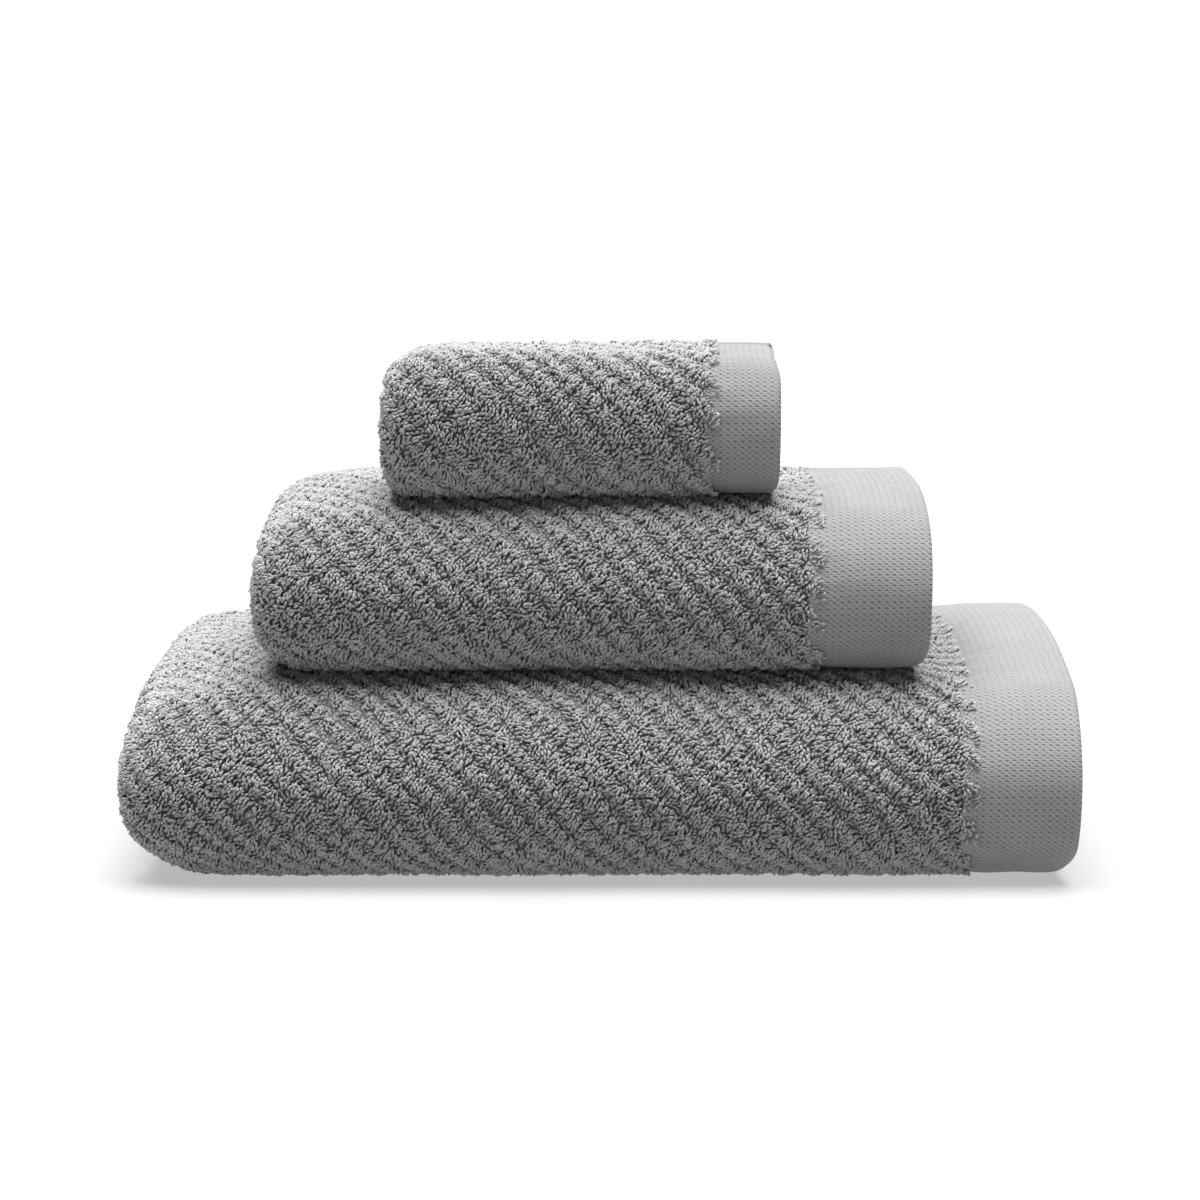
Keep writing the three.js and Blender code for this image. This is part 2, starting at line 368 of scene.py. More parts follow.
def band(towel, name, ring, depth, sweep, sweep_along, material, relief):
    """A closed strip: a ring of places and depths, swept along or across the cloth."""
    count = len(depth)
    swept = np.repeat(sweep[:, None], count, axis=1)
    ring = np.broadcast_to(ring, swept.shape)
    along, across = (swept, ring) if sweep_along else (ring, swept)
    depth = np.broadcast_to(depth, along.shape)
    depth = depth + relief(along, across, depth)
    points = towel.place(along, across, depth).reshape(-1, 3)
    faces = grid_faces(len(sweep), count, wrap=True)
    # the caps are quads between the two faces of the strip
    half = count // 2
    cap = [[i, i + 1, count - 2 - i, count - 1 - i] for i in range(half - 1)]
    last = (len(sweep) - 1) * count
    caps = cap + [[last + q for q in reversed(quad)] for quad in cap]
    faces = np.concatenate([faces, np.array(caps)])
    out = towel.length.outer_length(along), towel.width.outer_length(across)
    cloth = np.stack([o.ravel() for o in out], axis=-1)
    return face_out(new_piece(name, points, faces, material, {"cloth": cloth}))


def face_out(piece):
    """Turns a closed mesh's faces outwards."""
    mesh = piece.data
    mesh.calc_loop_triangles()
    count = len(mesh.loop_triangles)
    corners = np.empty(count * 3, np.int32)
    mesh.loop_triangles.foreach_get("vertices", corners)
    co = np.empty(len(mesh.vertices) * 3, np.float32)
    mesh.vertices.foreach_get("co", co)
    tri = co.reshape(-1, 3)[corners.reshape(-1, 3)].astype(float)
    volume = np.einsum("ij,ij->i", tri[:, 0], np.cross(tri[:, 1], tri[:, 2])).sum()
    if volume < 0:
        mesh.flip_normals()
    return piece


EDGE_SHARE = 0.12         # thickness left at the free edge of a hem


def flat_ring(far, pitch, top, bottom, rounding):
    """A ring round a flat strip with a round free edge, down its top and back: places, depths."""
    count = max(3, int(far / pitch))
    run = far * np.linspace(1, 0, count)
    edge = np.clip(run / rounding, 0, 1)
    swell = np.maximum(np.sqrt(1 - (1 - edge) ** 2), EDGE_SHARE)
    middle, half = (top + bottom) / 2, (bottom - top) / 2
    upper, lower = middle - half * swell, middle + half * swell
    return np.concatenate([run, run[::-1]]), np.concatenate([upper, lower[::-1]])


# ---- The pile --------------------------------------------------------------------------------

RIB_PITCH, RIB_DEPTH, RIB_GROOVE = 9.3 * MM, 2.3 * MM, 0.22      # groove: its share of the pitch
CROSS_PITCH, CROSS_DEPTH, CROSS_GROOVE = 5.6 * MM, 0.9 * MM, 0.2
GROOVE_LIMIT = 2.4 * MM
RIB_SLOPE = (0.8, 0.6)                                           # along and across the cloth
RIB_CROWN = 0.85 * MM                                            # of a rib, above the pile's mean
FLAT_FOLD, FLAT_FOLD_REACH = 0.35, 35 * MM                       # ribs pressed out at the fold end


def groove(rows, width):
    """1 in the middle of each groove between rows, falling to 0 on the row; width is its share."""
    away = np.abs(rows - np.round(rows))
    return np.exp(-(away / width) ** 2)


def ribs(towel, along, across):
    """How far the pile stands above its mean: rows set apart by three families of grooves."""
    u = -towel.length.outer_length(along)
    v = towel.width.outer_length(across)
    drift = 0.13 * waves(u, v, towel.seed + 5, 0.05)
    rows = (RIB_SLOPE[0] * u - RIB_SLOPE[1] * v) / (RIB_PITCH * towel.look.rib) + drift
    cross = (RIB_SLOPE[0] * u + RIB_SLOPE[1] * v) / (CROSS_PITCH * towel.look.rib) + drift
    from_fold = np.abs(along - (towel.length.starts[1] + towel.length.starts[2]) / 2)
    strength = 0.85 + 0.3 * waves(u, v, towel.seed + 8, 0.05)
    strength = strength * (1 - FLAT_FOLD * np.exp(-from_fold / FLAT_FOLD_REACH))
    depth = (RIB_DEPTH * groove(rows, RIB_GROOVE) + CROSS_DEPTH * groove(cross, CROSS_GROOVE)
             + 0.5 * CROSS_DEPTH * groove(cross - rows, CROSS_GROOVE))
    depth = GROOVE_LIMIT * np.tanh(strength * depth / GROOVE_LIMIT)
    return RIB_CROWN - depth + 0.15 * MM * waves(u, v, towel.seed + 6, 0.009)


LOOP_ROW, LOOP_COLUMN = 1.32 * MM, 1.6 * MM
LOOPS_PER_PIECE = 16000
LEG = 1.6 * MM            # how far a loop reaches down into the pile
PILE_DEPTH = 2.5 * MM
SCATTER = 0.17            # of the loops on their lattice and in height, in pitches and in mm
HEM_LEAN, HEM_LEAN_REACH = 2.4 * MM, 2.2 * MM         # of the last loops, out over the hem
# the four rings of a loop: place along it in loop sizes, tilt in degrees, painted shade (0 dark at
# the foot) and girth
ARCH_REACH, ARCH_TILT = (-0.5, -0.2, 0.2, 0.5), (-66, -24, 24, 66)
ARCH_TIP_SHADE, ARCH_GIRTH = (0.0, 0.85, 1.0, 0.1), (0.8, 1.0, 1.0, 0.8)
YARN_SIDE = 0.45          # how far a ring's side points lie below its middle, in radii
BAKE_MARGIN, BAKE_SHARE, BAKE_STEP = 0.02, 0.96, 0.006    # of a loop's place in the baked map


def loop_mesh(name, base, normal, heading, size, radius, lean, material, yarn, sunk_shade):
    """Arches of yarn, each a half tube of four rings of three points.

    Painted shade runs from 1 (lit) at an arch's top to 0 at its foot, less where it lies in a
    groove.
    """
    side = np.cross(normal, heading)
    rings = []
    for reach, rise, tilt, girth in zip(ARCH_REACH, (-LEG, 0.0, 0.0, -LEG), np.radians(ARCH_TILT),
                                        ARCH_GIRTH):
        centre = base + heading * (size * reach)[:, None] + normal * rise + lean * (1 + rise / LEG)
        up = normal * math.cos(tilt) + heading * math.sin(tilt)
        r = radius[:, None] * girth
        rings.append(np.stack([centre - side * r - up * r * YARN_SIDE, centre + up * r,
                               centre + side * r - up * r * YARN_SIDE], axis=1))
    points = np.stack(rings, axis=1).reshape(-1, 3)
    points[:, 2] = np.maximum(points[:, 2], FLOOR_CLEARANCE)
    one = grid_faces(4, 3)[:, ::-1]
    count = len(base)
    faces = (one[None] + 12 * np.arange(count)[:, None, None]).reshape(-1, 4)
    shade = np.repeat(yarn, 12)
    # painted shade: each arch darker towards its feet, and darker where it lies deep in a groove
    tip_shades = np.tile(np.repeat(ARCH_TIP_SHADE, 3), count) * (1 - 0.5 * np.repeat(np.clip(sunk_shade, 0, 1), 12))
    spread = np.tile([-BAKE_STEP, 0.0, BAKE_STEP], 4 * count)
    bake = np.stack([BAKE_MARGIN + BAKE_SHARE * shade + spread,
                     BAKE_MARGIN + BAKE_SHARE * tip_shades], axis=-1)
    return new_piece(name, points, faces, material, {"OFBake": bake},
                     {"yarn": shade, "tip": tip_shades})


def loop_field(towel, region, along, across, material):
    """The loops on a lattice of the cloth, as pieces of at most LOOPS_PER_PIECE loops."""
    rng = np.random.default_rng(towel.seed + len(region))
    count = len(along)
    along = along + rng.normal(0, SCATTER, count) * LOOP_COLUMN
    across = across + rng.normal(0, SCATTER, count) * LOOP_ROW
    normal = towel.normal(along, across)
    run = unit(towel.place(along - PROBE, across, 0.0) - towel.place(along + PROBE, across, 0.0))
    run = unit(run - normal * np.sum(run * normal, axis=-1, keepdims=True))
    sideways = np.cross(normal, run)
    height = ribs(towel, along, across)
    slope_run = ribs(towel, along - PROBE, across) - ribs(towel, along + PROBE, across)
    slope_side = ribs(towel, along, across - PROBE) - ribs(towel, along, across + PROBE)
    slope = (run * slope_run[:, None] + sideways * slope_side[:, None]) / (2 * PROBE)
    # neighbours turn together, in tufts
    u, v = towel.length.outer_length(along), towel.width.outer_length(across)
    turn = 0.75 + 0.9 * waves(u, v, towel.seed + 7, 0.011) + rng.normal(0, 0.28, count)
    heading = run * np.cos(turn)[:, None] + sideways * np.sin(turn)[:, None]
    height = height + rng.normal(0, SCATTER, count) * MM
    base = towel.place(along, across, 0.0) + normal * (height - 0.6 * MM)[:, None]
    to_hem = np.exp(-np.abs(along - towel.hem) / HEM_LEAN_REACH)
    to_hem = to_hem * smooth(height / (0.5 * MM) + 0.6)
    lean = (run * (rng.normal(0, 0.25, count) * MM + HEM_LEAN * to_hem)[:, None]
            + sideways * (rng.normal(0, 0.25, count) * MM)[:, None])
    normal = unit(normal - slope + rng.normal(0, 0.12, (count, 3)))
    heading = unit(heading - normal * np.sum(heading * normal, axis=-1, keepdims=True))
    size = rng.normal(1.9, 0.22, count).clip(1.3, 2.5) * MM
    radius = rng.normal(0.45, 0.04, count).clip(0.36, 0.56) * MM
    yarn = rng.uniform(0, 1, count)
    # how deep each loop lies in a groove; it only darkens the loop, as painted shade
    sunk_shade = (RIB_CROWN - height) / GROOVE_LIMIT
    pieces = []
    parts = max(1, math.ceil(count / LOOPS_PER_PIECE))
    for k, chosen in enumerate(np.array_split(np.arange(count), parts)):
        name = f"{towel.name}_loops_{region}" + (f"_{k + 1}" if parts > 1 else "")
        pieces.append(loop_mesh(name, base[chosen], normal[chosen], heading[chosen], size[chosen],
                                radius[chosen], lean[chosen], material, yarn[chosen],
                                sunk_shade[chosen]))
    return pieces


def staggered(along, across):
    """The lattice of along and across, with every other row half a step on."""
    s, w = np.meshgrid(along, across)
    s[::2, :-1] = (s[::2, :-1] + s[::2, 1:]) / 2
    return s.ravel(), w.ravel()


UNDER_NEAR, UNDER_FAR = 24 * MM, 14 * MM    # loops that reach in under the towel, front and back
TUCKED = 26 * MM                            # loops that reach in on the tucked mat
OVER_HEM, RAGGED = 0.4 * MM, 3.2 * MM       # where the loops end in a groove, and on a rib
RAGGED_RISE = 0.8 * MM                      # height of the pile at which a rib counts in full


def pile_loops(towel, material):
    """Loops wherever the outer face shows: on top, round the nose and the back, and at the ends."""
    length, width = towel.length, towel.width
    fold_near, fold_far = length.starts[1], length.starts[2]
    columns = length.evenly(towel.hem - 2.2 * MM, fold_far + 5 * MM, LOOP_COLUMN)
    rows = width.evenly(towel.side, width.size - towel.side, LOOP_ROW)
    s, w = staggered(columns, rows)
    under_near, under_far = width.starts[2] + UNDER_NEAR, width.starts[3] - UNDER_FAR
    tuck = width.starts[4] + towel.inset + TUCKED
    shown = (w < under_near) | ((w > under_far) & (w < tuck))
    at_fold = s > fold_near - 6 * MM
    first = towel.hem + OVER_HEM - RAGGED * smooth(ribs(towel, s, w) / RAGGED_RISE)
    keep = (shown | at_fold) & (s > first)
    pieces = loop_field(towel, "field", s[keep], w[keep], material)
    if len(length.turns) > 3:
        near, far = length.starts[3] - 3 * MM, length.starts[4] + 3 * MM
        s, w = staggered(length.evenly(near, far, LOOP_COLUMN), rows)
        pieces += loop_field(towel, "inner_fold", s, w, material)
    return pieces


FINE, COARSE = 3.2 * MM, 16 * MM            # faces of the cloth, where it shows and elsewhere


def ground_cloth(towel, material):
    """The cloth that the loops stand on: a closed sheet, finest where it shows."""
    along = towel.length.stations(towel.hem, towel.length.size - towel.hem, FINE, COARSE)
    across = towel.width.stations(towel.side, towel.width.size - towel.side, FINE, COARSE)
    w, s = np.meshgrid(across, along, indexing="ij")
    top = np.full_like(s, PILE_DEPTH)
    bottom = np.full_like(s, towel.ply - 0.25 * MM)
    points = np.concatenate([towel.place(s, w, top).reshape(-1, 3),
                             towel.place(s, w, bottom).reshape(-1, 3)])
    flat = towel.length.outer_length(s).ravel(), towel.width.outer_length(w).ravel()
    cloth = np.tile(np.stack(flat, axis=-1), (2, 1))
    return face_out(new_piece(f"{towel.name}_cloth", points, slab_faces(*s.shape), material,
                              {"cloth": cloth}))


# ---- Hems, stitches and labels ---------------------------------------------------------------

INNER_SET_BACK = 2 * MM   # of the cloth's second end, behind its first


def end_hem(towel, place, material):
    """A turned double hem of flat weave, puffed between its edge and its seam."""
    at_end = place == "inner"
    recess = towel.recess(towel.hem_thickness)
    run, depth = flat_ring(towel.hem + 3 * MM, 1.1 * MM, recess, recess + towel.hem_thickness,
                           2.2 * MM)
    along = towel.length.size - run - INNER_SET_BACK if at_end else run
    sweep = towel.width.evenly(towel.side, towel.width.size - towel.side, 1.6 * MM)
    middle = recess + towel.hem_thickness / 2

    def relief(s, w, d):
        distance = towel.length.size - s if at_end else s
        v = towel.width.outer_length(w)
        outward = np.where(d < middle, -1.0, 1.0)
        puff = 0.35 * MM * np.sin(math.pi * np.clip(distance / towel.hem, 0, 1)) ** 0.7
        pinch = 0.55 * MM * np.exp(-np.abs(distance - towel.hem) / (3.5 * MM))
        pucker = 0.42 * MM * waves(v, 0.12 * distance, towel.seed + 9, 0.0085)
        fade = np.exp(-np.abs(distance - towel.hem) / (11 * MM))
        ripple = 0.22 * MM * waves(v, distance, towel.seed + 10, 0.03)
        edge = smooth(distance / (3 * MM))
        return edge * (outward * (puff - pinch) + pucker * fade + ripple)

    return band(towel, f"{towel.name}_hem_{place}", along, depth, sweep, False, material, relief)


def side_hem(towel, place, material):
    """A narrow turned hem along one side of the cloth."""
    recess = towel.recess(towel.side_thickness)
    run, depth = flat_ring(towel.side + 1.5 * MM, 1.3 * MM, recess, recess + towel.side_thickness,
                           1.6 * MM)
    across = towel.width.size - run if place == "tucked" else run
    sweep = towel.length.evenly(0.0, towel.length.size, 4 * MM)

    def relief(s, w, d):
        u = towel.length.outer_length(s)
        return 0.16 * MM * waves(u, w, towel.seed + 11, 0.012)

    name = f"{towel.name}_side_border_{place}"
    return band(towel, name, across, depth, sweep, True, material, relief)


STITCH_PITCH, STITCH_LENGTH, STITCH_RADIUS = 3.1 * MM, 3.0 * MM, 0.26 * MM
STITCH_PROUD = 0.12 * MM
END_SEAM_INSET, SIDE_SEAM_INSET = 1.6 * MM, 1.8 * MM    # inside the hem's inner edge
END_SEAM_SUNK = 0.4 * MM                                # where the seam pinches the hem


def stitches(towel, name, along, across, depth, run_along, material):
    """A row of lockstitches that lie on the hem."""
    count = len(along)
    surface = towel.place(along, across, depth)
    normal = unit(surface - towel.place(along, across, depth + PROBE))
    if run_along:
        ahead = towel.place(along + PROBE, across, depth)
    else:
        ahead = towel.place(along, across + PROBE, depth)
    heading = unit(ahead - surface)
    heading = unit(heading - normal * np.sum(heading * normal, axis=-1, keepdims=True))
    size, radius = np.full(count, STITCH_LENGTH), np.full(count, STITCH_RADIUS)
    return loop_mesh(name, surface + normal * STITCH_PROUD, normal, heading, size, radius,
                     np.zeros((count, 3)), material, np.linspace(0, 1, count), np.zeros(count))


def seams(towel, material):
    """The four seams, by the name of the node that each stands for."""
    pieces = {}
    length, width = towel.length, towel.width
    across = width.evenly(towel.side + MM, width.size - towel.side - MM, STITCH_PITCH)
    inset, depth = towel.hem - END_SEAM_INSET, towel.recess(towel.hem_thickness) + END_SEAM_SUNK
    for place, at in (("outer", inset), ("inner", length.size - inset)):
        pieces[f"end_seam_{place}"] = stitches(towel, f"{towel.name}_seam_{place}",
                                               np.full(len(across), at), across, depth, False,
                                               material)
    along = length.evenly(2 * MM, length.size - 2 * MM, STITCH_PITCH)
    inset, depth = towel.side - SIDE_SEAM_INSET, towel.recess(towel.side_thickness)
    for place, at in (("top", inset), ("tucked", width.size - inset)):
        pieces[f"side_seam_{place}"] = stitches(towel, f"{towel.name}_side_seam_row_{place}",
                                                along, np.full(len(along), at), depth, True,
                                                material)
    return pieces


LABEL_BEND = 1.15         # radians, from root to tip
LABEL_ROOT = 1.5 * MM     # inside the side hem
LABEL_HALF = 0.16 * MM    # of its thickness


def care_label(towel, material):
    """A blank satin tab, folded into the side hem and bent down behind it."""
    low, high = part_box(f"{towel.name}_care_label")
    x_middle, half = (low.x + high.x) / 2, (high.x - low.x) / 2
    from_end = towel.centre[0] + towel.length.extent / 2 - x_middle
    root = towel.place(np.array([from_end]), np.array([0.0]), np.array([towel.ply / 2]))[0]
    drop = high.y - low.y + 2 * MM
    v, u = np.meshgrid(np.linspace(0, 1, 15), np.linspace(-1, 1, 17), indexing="ij")
    bend = LABEL_BEND * v
    x = x_middle + half * u
    y = root[1] - LABEL_ROOT + drop * np.sin(bend) / LABEL_BEND
    z = root[2] - drop * (1 - np.cos(bend)) / LABEL_BEND + 0.25 * MM * np.sin(2.2 * u + 1.5 * v)
    top = np.stack([x, y, z + LABEL_HALF], axis=-1).reshape(-1, 3)
    bottom = np.stack([x, y - 0.1 * MM, z - LABEL_HALF], axis=-1).reshape(-1, 3)
    cloth = np.tile(np.stack([(u * half).ravel(), (v * drop).ravel()], axis=-1), (2, 1))
    return face_out(new_piece(f"{towel.name}_label", np.concatenate([top, bottom]),
                              slab_faces(*u.shape), material, {"cloth": cloth}))


# ---- Materials -------------------------------------------------------------------------------

class Nodes:
    """A short way to write a material's nodes."""

    def __init__(self, name):
        self.material = bpy.data.materials.new(name)
        self.material.use_nodes = True
        self.tree = self.material.node_tree
        self.shader = self.tree.nodes["Principled BSDF"]

    def add(self, kind, inputs=None, **settings):
        node = self.tree.nodes.new(kind)
        for key, value in settings.items():
            setattr(node, key, value)
        for key, value in (inputs or {}).items():
            self.feed(node.inputs[key], value)
        return node

    def feed(self, socket, value):
        if isinstance(value, bpy.types.NodeSocket):
            self.tree.links.new(value, socket)
        else:
            socket.default_value = value

    def math(self, operation, *values):
        node = self.add("ShaderNodeMath", operation=operation)
        for socket, value in zip(node.inputs, values):
            self.feed(socket, value)
        return node.outputs[0]

    def mix(self, share, first, second):
        node = self.add("ShaderNodeMix", data_type="RGBA")
        self.feed(node.inputs[0], share)
        self.feed(node.inputs[6], first)
        self.feed(node.inputs[7], second)
        return node.outputs[2]

    def noise(self, vector, scale, detail=2.0):
        node = self.add("ShaderNodeTexNoise", {"Vector": vector, "Scale": scale, "Detail": detail})
        return node.outputs["Fac"]

    def ramp(self, value, *stops):
        node = self.add("ShaderNodeValToRGB", {"Fac": value})
        elements = node.color_ramp.elements
        while len(elements) < len(stops):
            elements.new(0.5)
        for element, (place, level) in zip(elements, stops):
            element.position = place
            element.color = (level, level, level, 1)
        return node.outputs["Color"]

    def cloth(self, sheen):
        """The settings that all the cloth and thread share."""
        self.shader.inputs["Specular IOR Level"].default_value = 0.25
        self.shader.inputs["Sheen Weight"].default_value = sheen
        self.shader.inputs["Sheen Roughness"].default_value = 0.45


def grey(level):
    """A neutral grey with the faint cool cast of the dyed cotton."""
    return (level * 0.992, level, level * 1.012, 1.0)


YARN, HEM, THREAD = 0.325, 0.23, 0.245      # albedos


def yarn_material():
    """Looped yarn, a little different loop by loop, with painted shade at the feet and in grooves.
    """
    n = Nodes("terry_yarn")
    yarn = n.add("ShaderNodeAttribute", attribute_name="yarn").outputs["Fac"]
    tip = n.add("ShaderNodeAttribute", attribute_name="tip").outputs["Fac"]
    tone = n.mix(n.ramp(yarn, (0.0, 0.0), (1.0, 1.0)), grey(YARN * 0.88), grey(YARN * 1.1))
    # painted shade: the feet of the loops, and loops deep in grooves, go towards half the yarn's
    # grey
    root = n.ramp(tip, (0.0, 0.0), (0.8, 1.0))
    n.feed(n.shader.inputs["Base Color"], n.mix(root, grey(YARN * 0.5), tone))
    n.feed(n.shader.inputs["Roughness"], n.ramp(tip, (0.0, 1.0), (1.0, 0.86)))
    n.cloth(0.2)
    return n.material


def place_on_cloth(n):
    """The place on the flat cloth in metres: both, along it and across it."""
    uv = n.add("ShaderNodeUVMap", uv_map="cloth").outputs["UV"]
    split = n.add("ShaderNodeSeparateXYZ", {"Vector": uv})
    return uv, split.outputs["X"], split.outputs["Y"]


WEAVE_PIT, WEAVE_ROW = 2.75 * MM, 1.22 * MM       # pitch of the pits and of their rows


def weave_material():
    """Flat weave: rows of small slanted pits between the floats, set half a pit apart by row."""
    n = Nodes("flat_weave")
    uv, u, v = place_on_cloth(n)
    wander = n.noise(uv, 110.0)
    rows = n.math("ADD", n.math("DIVIDE", v, WEAVE_ROW), n.math("MULTIPLY", wander, 0.9))
    index = n.math("FLOOR", rows)
    columns = n.math("ADD", n.math("DIVIDE", u, WEAVE_PIT), n.math("MULTIPLY", index, 0.5))
    columns = n.math("ADD", columns, n.math("MULTIPLY", n.noise(uv, 160.0), 0.5))
    along = n.math("SUBTRACT", n.math("FRACT", columns), 0.5)
    across = n.math("SUBTRACT", n.math("FRACT", rows), 0.5)
    slanted = n.math("ADD", across, n.math("MULTIPLY", along, 0.55))
    reach = n.math("ADD", n.math("POWER", n.math("MULTIPLY", along, 3.1), 2.0),
                   n.math("POWER", n.math("MULTIPLY", slanted, 2.5), 2.0))
    hollow = n.math("POWER", 2.718, n.math("MULTIPLY", reach, -2.0))
    every_other = n.math("MULTIPLY", n.math("PINGPONG", index, 1.0), 0.45)
    hollow = n.math("MULTIPLY", hollow, n.math("SUBTRACT", 1.0, every_other))
    twill = n.math("ADD", n.math("MULTIPLY", columns, 2.0), rows)
    float_height = n.math("MULTIPLY", n.math("PINGPONG", twill, 0.5), 0.7)
    fuzz = n.noise(uv, 2600.0, 3.0)
    patch = n.noise(uv, 42.0, 3.0)
    light = n.mix(n.ramp(patch, (0.3, 0.0), (0.7, 1.0)), grey(HEM * 0.95), grey(HEM * 1.06))
    between = n.mix(0.2, light, grey(HEM * 0.5))
    light = n.mix(n.ramp(fuzz, (0.35, 0.0), (0.65, 1.0)), between, light)
    # painted shade: the pits go dark grey, on top of their bump
    colour = n.mix(n.math("MULTIPLY", hollow, 0.95), light, grey(HEM * 0.26))
    n.feed(n.shader.inputs["Base Color"], colour)
    n.feed(n.shader.inputs["Roughness"], n.ramp(hollow, (0.0, 0.82), (1.0, 1.0)))
    height = n.math("ADD", n.math("SUBTRACT", float_height, hollow), n.math("MULTIPLY", fuzz, 0.3))
    bump = n.add("ShaderNodeBump", {"Height": height, "Distance": 0.3 * MM, "Strength": 1.0})
    n.feed(n.shader.inputs["Normal"], bump.outputs["Normal"])
    n.cloth(0.14)
    return n.material


def ground_material():
    """The cloth under and behind the loops, painted dark as the shade between them: it reads as
    short pile.
    """
    n = Nodes("terry_ground_painted_shade")
    uv, _, _ = place_on_cloth(n)
    cells = n.add("ShaderNodeTexVoronoi", {"Vector": uv, "Scale": 620.0, "Randomness": 0.9},
                  voronoi_dimensions="2D")
    spot = n.ramp(cells.outputs["Distance"], (0.0, 1.0), (0.75, 0.0))
    patch = n.noise(uv, 260.0, 3.0)
    light = n.mix(patch, grey(YARN * 0.36), grey(YARN * 0.55))
    # painted shade: the whole cloth far darker than the yarn, darkest between its bumps
    n.feed(n.shader.inputs["Base Color"], n.mix(spot, grey(YARN * 0.22), light))
    n.feed(n.shader.inputs["Roughness"], n.ramp(patch, (0.0, 0.9), (1.0, 1.0)))
    bump = n.add("ShaderNodeBump", {"Height": spot, "Distance": 0.8 * MM, "Strength": 1.0})
    n.feed(n.shader.inputs["Normal"], bump.outputs["Normal"])
    n.cloth(0.2)
    return n.material


def thread_material():
    """Twisted sewing thread, with painted shade where each stitch dips into the hem."""
    n = Nodes("sewing_thread")
    yarn = n.add("ShaderNodeAttribute", attribute_name="yarn").outputs["Fac"]
    tip = n.add("ShaderNodeAttribute", attribute_name="tip").outputs["Fac"]
    tone = n.mix(yarn, grey(THREAD * 0.94), grey(THREAD * 1.05))
    # painted shade at the stitch ends, where they dip into the hem
    n.feed(n.shader.inputs["Base Color"], n.mix(tip, grey(THREAD * 0.55), tone))
    n.feed(n.shader.inputs["Roughness"], n.ramp(tip, (0.0, 0.8), (1.0, 0.55)))
    n.cloth(0.1)
    return n.material


def label_material():
    """Blank satin tape with fine ribs."""
    n = Nodes("satin_label")
    uv, _, v = place_on_cloth(n)
    rib = n.math("PINGPONG", n.math("FRACT", n.math("DIVIDE", v, 0.45 * MM)), 0.5)
    grain = n.noise(uv, 900.0, 3.0)
    tone = n.mix(grain, (0.42, 0.42, 0.41, 1), (0.48, 0.48, 0.47, 1))
    # painted shade: the troughs between the ribs go darker
    n.feed(n.shader.inputs["Base Color"], n.mix(n.ramp(rib, (0.0, 0.0), (0.5, 1.0)),
                                                (0.33, 0.33, 0.32, 1), tone))
    n.feed(n.shader.inputs["Roughness"], n.ramp(rib, (0.0, 0.6), (0.5, 0.38)))
    bump = n.add("ShaderNodeBump", {"Height": rib, "Distance": 0.08 * MM, "Strength": 0.6})
    n.feed(n.shader.inputs["Normal"], bump.outputs["Normal"])
    n.cloth(0.1)
    return n.material


# ---- The stage -------------------------------------------------------------------------------

CAMERA_DISTANCE, CAMERA_HEIGHT = 1.6, 0.33   # from the bath towel's nose, and above the floor
CAMERA_PITCH, CAMERA_LENS = math.radians(7.85), 132.0
FLOOR, FLOOR_GLOW = 0.21, 0.45               # albedo, and the radiance of a faintly lit floor
OVERHEAD, BACK, HORIZON, SKY = 12.4, 3.5, 1.8, 0.04     # radiances of the parts of the tent
LOBE = (0.82, 0.94)                          # cosines of the overhead and back parts' edges
HORIZON_EDGE = (0.09, 0.19)                  # sines of the heights where the horizon fades
BACK_HEIGHT = math.radians(30)


def camera():
    data = bpy.data.cameras.new("camera")
    data.lens, data.sensor_width = CAMERA_LENS, 36.0
    data.clip_end = 50.0
    view = bpy.data.objects.new("camera", data)
    view.location = (0.0, cad_low.y - CAMERA_DISTANCE, CAMERA_HEIGHT)
    view.rotation_euler = (math.pi / 2 - CAMERA_PITCH, 0, 0)
    bpy.context.scene.collection.objects.link(view)
    bpy.context.scene.camera = view


def floor():
    reach = 8.0
    points = [(x, y, 0.0) for y in (-reach, reach) for x in (-reach, reach)]
    n = Nodes("floor")
    n.feed(n.shader.inputs["Base Color"], (FLOOR, FLOOR, FLOOR, 1))
    n.feed(n.shader.inputs["Roughness"], 1.0)
    n.shader.inputs["Specular IOR Level"].default_value = 0.0
    n.shader.inputs["Emission Color"].default_value = (1, 1, 1, 1)
    n.shader.inputs["Emission Strength"].default_value = FLOOR_GLOW
    new_piece("floor", points, [[0, 1, 3, 2]], n.material)


def lights():
    """A white studio tent: bright overhead, less bright low at the back, white at the horizon."""
    world = bpy.data.worlds.new("studio")
    world.use_nodes = True
    tree = world.node_tree
    background = tree.nodes["Background"]
    background.inputs["Color"].default_value = (1, 1, 1, 1)
    heading = tree.nodes.new("ShaderNodeTexCoord").outputs["Generated"]

    def part(axis, near, far, start, end):
        """A radiance that goes from start to end as the cosine to axis goes from near to far."""
        dot = tree.nodes.new("ShaderNodeVectorMath")
        dot.operation = "DOT_PRODUCT"
        tree.links.new(heading, dot.inputs[0])
        dot.inputs[1].default_value = axis
        step = tree.nodes.new("ShaderNodeMapRange")
        step.interpolation_type = "SMOOTHSTEP"
        for socket, value in zip(("From Min", "From Max", "To Min", "To Max"),
                                 (near, far, start, end)):
            step.inputs[socket].default_value = value
        tree.links.new(dot.outputs["Value"], step.inputs["Value"])
        return step.outputs["Result"]

    behind = (0.0, math.cos(BACK_HEIGHT), math.sin(BACK_HEIGHT))
    total = part((0, 0, 1), *HORIZON_EDGE, HORIZON, SKY)
    for one in (part((0, 0, 1), *LOBE, 0.0, OVERHEAD), part(behind, *LOBE, 0.0, BACK)):
        both = tree.nodes.new("ShaderNodeMath")
        both.operation = "ADD"
        tree.links.new(total, both.inputs[0])
        tree.links.new(one, both.inputs[1])
        total = both.outputs[0]
    tree.links.new(total, background.inputs["Strength"])
    bpy.context.scene.world = world
    bpy.context.scene.view_settings.view_transform = "Standard"


# ---- The stack -------------------------------------------------------------------------------

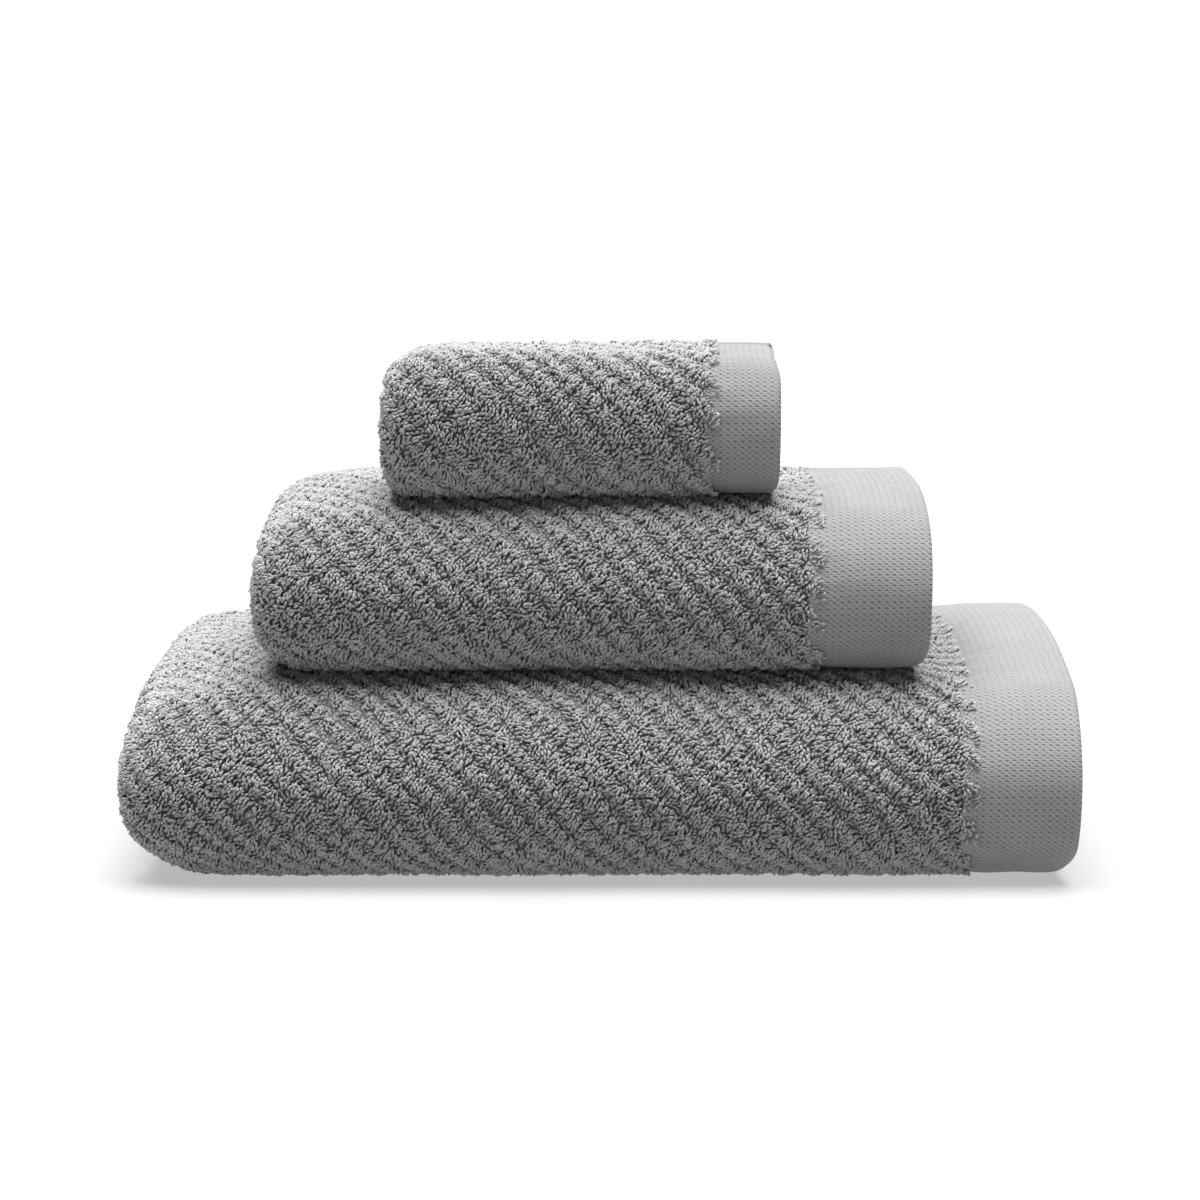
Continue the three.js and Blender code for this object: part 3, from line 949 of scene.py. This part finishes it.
BATH_LOOK = Look("hand_towel", crest=0.08, back_drop=0.0, nose_reach=(110 * MM, 52 * MM),
                 nose_fall=0.26, end_length=0.11, top_round=7 * MM, bottom_round=22 * MM,
                 bulge=3.5 * MM, waist=0.5, hem_round=(0.0, 6 * MM), rib=1.0, edge_share=1.0)
HAND_LOOK = Look("washcloth", crest=0.055, back_drop=0.035, nose_reach=(80 * MM, 46 * MM),
                 nose_fall=0.22, end_length=0.08, top_round=5 * MM, bottom_round=9 * MM,
                 bulge=1 * MM, waist=0.45, hem_round=(1 * MM, 4 * MM), rib=1.08, edge_share=1.0)
WASH_LOOK = Look(None, crest=-0.045, back_drop=0.035, nose_reach=(55 * MM, 55 * MM),
                 nose_fall=0.06, end_length=0.05, top_round=4 * MM, bottom_round=4 * MM,
                 bulge=0.0, waist=0.45, hem_round=(3.5 * MM, 2 * MM), rib=1.12, edge_share=0.5)

# from the floor up: name, flat width and length, folds of the length and of the width, look
TOWELS = [Towel("bath_towel", (0.7, 1.4), ("quarters", "thirds"), BATH_LOOK),
          Towel("hand_towel", (0.5, 1.0), ("quarters", "thirds"), HAND_LOOK),
          Towel("washcloth", (0.3, 0.3), ("halves", "quarters"), WASH_LOOK)]


def stand_for(towel, piece, slot, *nodes):
    """Fixes a piece to its towel's body, in the place of the CAD nodes named."""
    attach(piece, towel.name)
    if nodes:
        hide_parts(*[f"{towel.name}_{node}" for node in nodes])
    return piece


def build(towel, finish):
    """Makes all the pieces of a towel, and gives the name of its cloth."""
    cloth = stand_for(towel, ground_cloth(towel, finish["ground"]), "terry_pile", "pile_field")
    others = [stand_for(towel, loops, "terry_pile") for loops in pile_loops(towel, finish["yarn"])]
    for place in ("outer", "inner"):
        hem = end_hem(towel, place, finish["hem"])
        others.append(stand_for(towel, hem, "woven_hem", f"end_hem_{place}"))
    for place in ("top", "tucked"):
        hem = side_hem(towel, place, finish["hem"])
        others.append(stand_for(towel, hem, "woven_hem", f"side_hem_{place}"))
    for node, seam in seams(towel, finish["thread"]).items():
        others.append(stand_for(towel, seam, "sewing_thread", node))
    label = care_label(towel, finish["label"])
    others.append(stand_for(towel, label, "care_label", "care_label"))
    return cloth.name


camera()
floor()
lights()
FINISH = {"ground": ground_material(), "yarn": yarn_material(), "hem": weave_material(),
          "thread": thread_material(), "label": label_material()}
under = "floor"
for towel in TOWELS:
    under = build(towel, FINISH)
